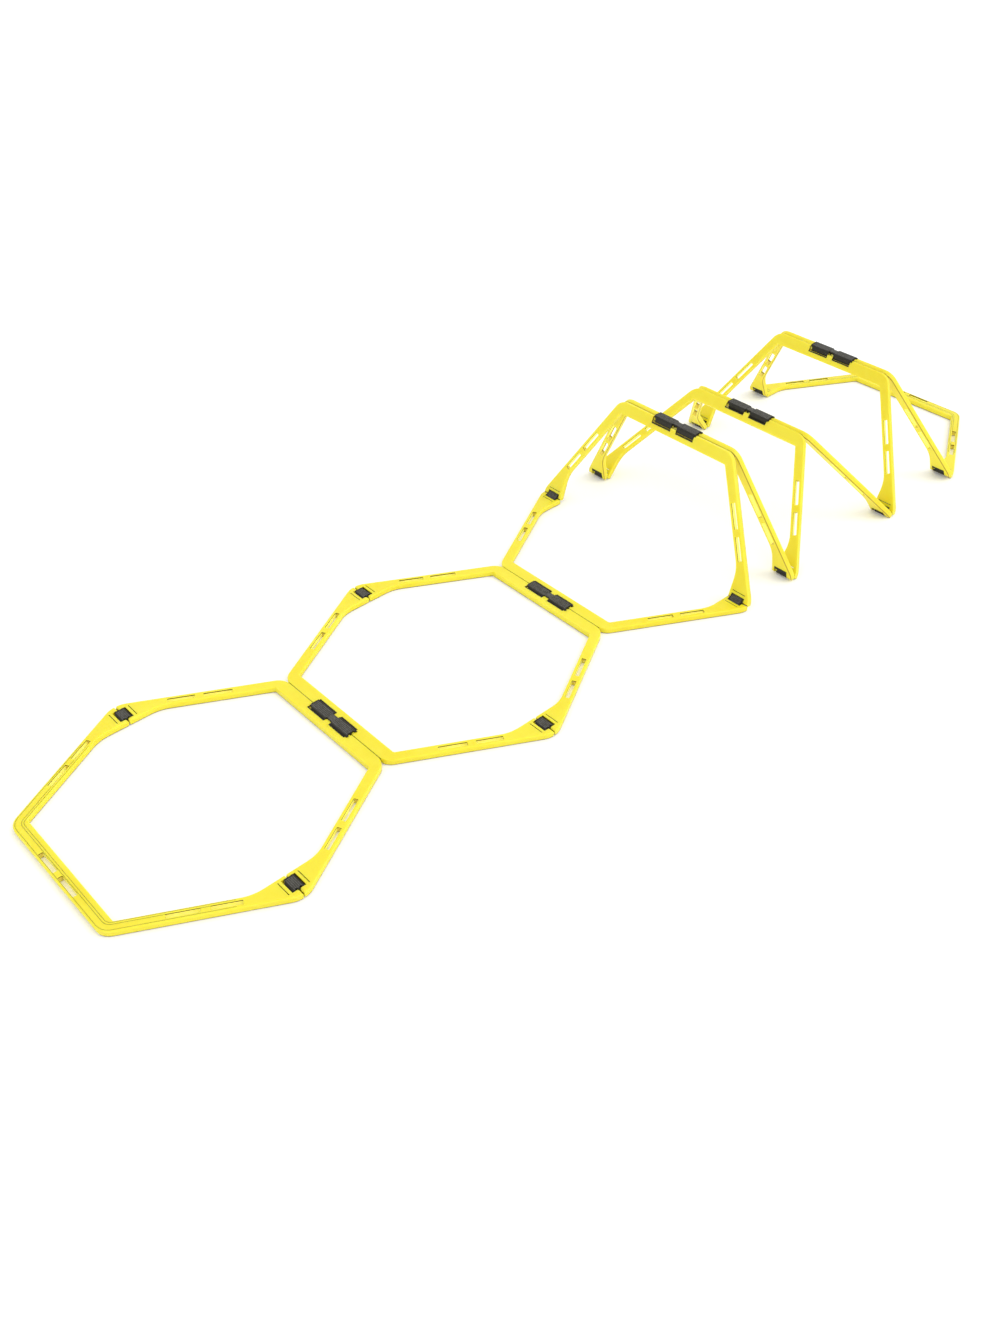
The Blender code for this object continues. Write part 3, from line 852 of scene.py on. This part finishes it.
def yellow_plastic():
    """Injection-moulded polypropylene: a satin skin with flow marks, fine grain and rubbed edges.

    The slots' walls are painted paler and given a glow: painted light, standing in for the light that comes
    through the plastic.
    Painted shade darkens a line on each slot's wall under the lip at its top, the walls at the slots' ends,
    a panel's lower edges and its seams.
    """
    n = Nodes("yellow_plastic")
    coordinates = n.add("TexCoord")
    place = own_place(n, coordinates)
    height = n.parts(coordinates.outputs["Object"])["Z"]
    up = n.parts(coordinates.outputs["Normal"])["Z"]
    flow = n.noise(n.stretched(place, (0.5, 1.0, 1.0)), 9.0, 3.0)
    mottle = n.noise(place, 60.0, 5.0)
    grain = n.noise(place, 2600.0, 2.0)
    scuff = n.noise(n.stretched(place, (1.0, 6.0, 1.0)), 420.0, 6.0, 0.7)

    base = n.mix(n.ramp(flow, 0.35, 0.65), YELLOW, YELLOW_FLOW)
    base = n.mix(n.ramp(mottle, 0.45, 0.75, 0.0, 0.35), base, YELLOW_MOTTLE)
    worn = n.times(edge_mask(n, coordinates), n.ramp(scuff, 0.45, 0.7))
    base = n.mix(n.times(worn, 0.45), base, YELLOW_WORN)

    walls, ends = slot_walls(n, coordinates)
    # Painted shade: a dark line on the slots' walls just below the top skin, where the lip shades them
    lip = THICKNESS - SKIN
    painted_shade_under_lip = n.times(walls, n.ramp(height, lip - 0.0013, lip - 0.0009))
    # Painted light: the slots' walls are made paler
    base = n.mix(walls, base, SLOT_WALL_PAINTED_LIGHT)
    base = n.mix(n.times(painted_shade_under_lip, 0.95), base, UNDER_LIP_PAINTED_SHADE)
    # Painted shade: the walls at the slots' ends are darkened
    base = n.mix(n.times(ends, 0.4), base, SLOT_END_PAINTED_SHADE)
    # Painted shade: the lowest two millimetres or so of the side walls, outside the slots, are darkened
    # where the contact shadow falls
    painted_shade_lower_edge = n.times(n.ramp(height, 0.0022, 0.0012), n.ramp(up, -0.98, -0.90))
    base = n.mix(n.times(painted_shade_lower_edge, n.math("SUBTRACT", 0.8, walls)), base, LOWER_EDGE_PAINTED_SHADE)
    # Painted shade: seams, gaps and the floor contact darkened by ambient occlusion
    base = n.mix(painted_shade_in_crevices(n, 0.0024, 0.42, 0.80), base, YELLOW_CREVICE_SHADE)

    rough = n.ramp(n.math("ADD", scuff, n.times(mottle, 0.5)), 0.45, 1.05, 0.36, 0.52)
    normal = n.bump(grain, 0.00004, 0.35)
    normal = n.bump(flow, 0.0012, 0.10, normal)
    # Painted light: the slots' walls glow, less under the lip and at the ends
    lit = n.math("SUBTRACT", n.math("SUBTRACT", walls, painted_shade_under_lip), ends)
    glow = n.math("MAXIMUM", n.times(lit, SLOT_PAINTED_GLOW_STRENGTH), 0.0)
    n.set(Base_Color=base, Roughness=rough, Normal=normal)
    n.set(Emission_Color=SLOT_PAINTED_GLOW, Emission_Strength=glow)
    n.set(IOR=1.49, Subsurface_Weight=0.6, Subsurface_Scale=0.006, Subsurface_Radius=(1.0, 0.85, 0.25))
    return n.material


def plateau(n, coordinates, half_x, half_y):
    """1 on a link's flat top, falling to 0 at the rims."""
    x, y, _ = n.parts(coordinates.outputs["Object"])
    to_side = n.math("SUBTRACT", half_x, n.math("ABSOLUTE", x))
    to_end = n.math("SUBTRACT", half_y, n.math("ABSOLUTE", y))
    to_rim = n.math("MINIMUM", to_side, to_end)
    up = n.parts(coordinates.outputs["Normal"])["Z"]
    return n.times(n.ramp(to_rim, 0.0, 0.0007), n.ramp(up, 0.90, 0.99))


def black_rubber(name, half_x=0.0, half_y=0.0):
    """Moulded rubber: matt black, with flow lines along the links.

    half_x and half_y are half the size of a link's grey plateau: dust, and painted light where its top
    faces up. Without them there is none.
    """
    n = Nodes(name)
    coordinates = n.add("TexCoord")
    place = own_place(n, coordinates)
    lines = n.noise(n.stretched(place, (1.0, 0.12, 1.0)), 1500.0, 4.0, 0.6)
    dust = n.noise(place, 160.0, 6.0, 0.65)
    swirl = n.noise(place, 900.0, 2.0, 0.5)
    grain = n.noise(place, 3200.0, 3.0)
    base = n.mix(n.ramp(lines, 0.35, 0.65), RUBBER_DARK, RUBBER_LIGHT)
    if half_x:
        # Dust and painted light: the flat top that faces up is made grey, lighter than the dark rims
        on_top = plateau(n, coordinates, half_x, half_y)
        dust_and_lit_top = n.times(on_top, n.ramp(dust, 0.25, 0.75, 0.55, 1.0))
        grey = n.mix(n.ramp(lines, 0.40, 0.60), DUST_AND_LIT_TOP_DARK, DUST_AND_LIT_TOP_LIGHT)
        base = n.mix(dust_and_lit_top, base, grey)
    # Painted shade: the rubber's seams and gaps darkened by ambient occlusion
    base = n.mix(painted_shade_in_crevices(n, 0.0012, 0.35, 0.75), base, RUBBER_CREVICE_SHADE)
    rough = n.ramp(dust, 0.3, 0.7, 0.55, 0.72)
    normal = n.bump(grain, 0.00006, 0.5)
    normal = n.bump(swirl, 0.0003, 0.35, normal)
    normal = n.bump(lines, 0.00015, 0.6, normal)
    n.set(Base_Color=base, Roughness=rough, Normal=normal)
    n.set(IOR=1.45, Specular_IOR_Level=0.35, Sheen_Weight=0.04, Sheen_Roughness=0.5)
    return n.material


def floor_material():
    """A white sweep. It gives off a little light, so that it stays white under the object."""
    n = Nodes("studio_white")
    place = n.add("TexCoord").outputs["Object"]
    tone = n.noise(place, 1.5, 2.0)
    n.set(Base_Color=n.mix(tone, FLOOR_DARK, FLOOR_LIGHT), Roughness=0.7, Specular_IOR_Level=0.2)
    n.set(Emission_Color=WHITE, Emission_Strength=FLOOR_GLOW_STRENGTH)
    return n.material


# Studio


def add_camera():
    data = bpy.data.cameras.new("camera")
    data.lens = LENS
    data.sensor_width = FILM_WIDTH
    data.clip_start = 0.01
    camera = bpy.data.objects.new("camera", data)
    bpy.context.scene.collection.objects.link(camera)
    across, down, roll = (math.radians(a) for a in (CAMERA_AZIMUTH, CAMERA_DOWN, CAMERA_ROLL))
    level = math.cos(down)
    forward = Vector((math.cos(across) * level, math.sin(across) * level, -math.sin(down)))
    right = forward.cross(Vector((0.0, 0.0, 1.0))).normalized()
    up = right.cross(forward)
    x = math.cos(roll) * right + math.sin(roll) * up
    y = -math.sin(roll) * right + math.cos(roll) * up
    turn = Matrix((x, y, -forward)).transposed().to_4x4()
    camera.matrix_world = Matrix.Translation(CAMERA_AT) @ turn
    bpy.context.scene.camera = camera


def add_sun(name, towards, strength, softness):
    """A soft white distant light, shining along the direction towards."""
    data = bpy.data.lights.new(name, "SUN")
    data.energy = strength
    data.angle = math.radians(softness)
    light = bpy.data.objects.new(name, data)
    light.rotation_euler = Vector(towards).to_track_quat("-Z", "Y").to_euler()
    bpy.context.scene.collection.objects.link(light)


def add_studio():
    mesh = bmesh.new()
    bmesh.ops.create_grid(mesh, x_segments=2, y_segments=2, size=30.0)
    floor = temporary_object(mesh, "floor")
    floor.location.z = FLOOR_Z
    floor.data.materials.append(floor_material())
    world = bpy.data.worlds.new("studio")
    world.use_nodes = True
    background = world.node_tree.nodes["Background"]
    background.inputs["Color"].default_value = WHITE
    background.inputs["Strength"].default_value = 1.0
    bpy.context.scene.world = world
    add_sun("key", towards=(-1.0, 1.1, -1.5), strength=0.75, softness=40.0)
    bpy.context.scene.view_settings.view_transform = "Standard"


def build():
    """All panels with their straps, then all links. Odd folds are at the feet, even ones at the bars."""
    yellow = yellow_plastic()
    strap_rubber = black_rubber("strap_rubber")
    wide = PITCH / 2 + HALF
    rim = 0.0020
    top_rubber = black_rubber("top_link_rubber", wide - CROWN_SLOPE - 0.0004, TOP_LINK_HALF - rim)
    foot_rubber = black_rubber("foot_link_rubber", wide - 0.0040, FOOT_LINK_HALF - rim)
    end = panel_mesh("end_panel", False), straps_mesh("end_straps", False)
    middle = {}
    for name, nub_side in (("odd", -1), ("even", 1)):
        panel = panel_mesh(name + "_panel", True, nub_side)
        middle[name] = panel, straps_mesh(name + "_straps", True, nub_side)
    for number in range(1, PANELS + 1):
        panel, straps = end if number in (1, PANELS) else middle["odd" if number % 2 else "even"]
        node = f"panel_{number:02d}"
        matrix = panel_matrix(number)
        stand_in(node, panel, matrix, yellow)
        riding(node + "_straps", node, straps, matrix, strap_rubber)
    top = top_link_mesh(PITCH)
    foot = foot_link_mesh(PITCH)
    for fold in range(1, PANELS):
        if fold % 2:
            for side, v in (("left", FOOT_LINK_CENTRE), ("right", -FOOT_LINK_CENTRE)):
                node = f"foot_link_{(fold + 1) // 2}_{side}"
                stand_in(node, foot, link_matrix(fold, v), foot_rubber)
        else:
            stand_in(f"top_link_{fold // 2}", top, link_matrix(fold, 0.0), top_rubber)


build()
add_studio()
add_camera()
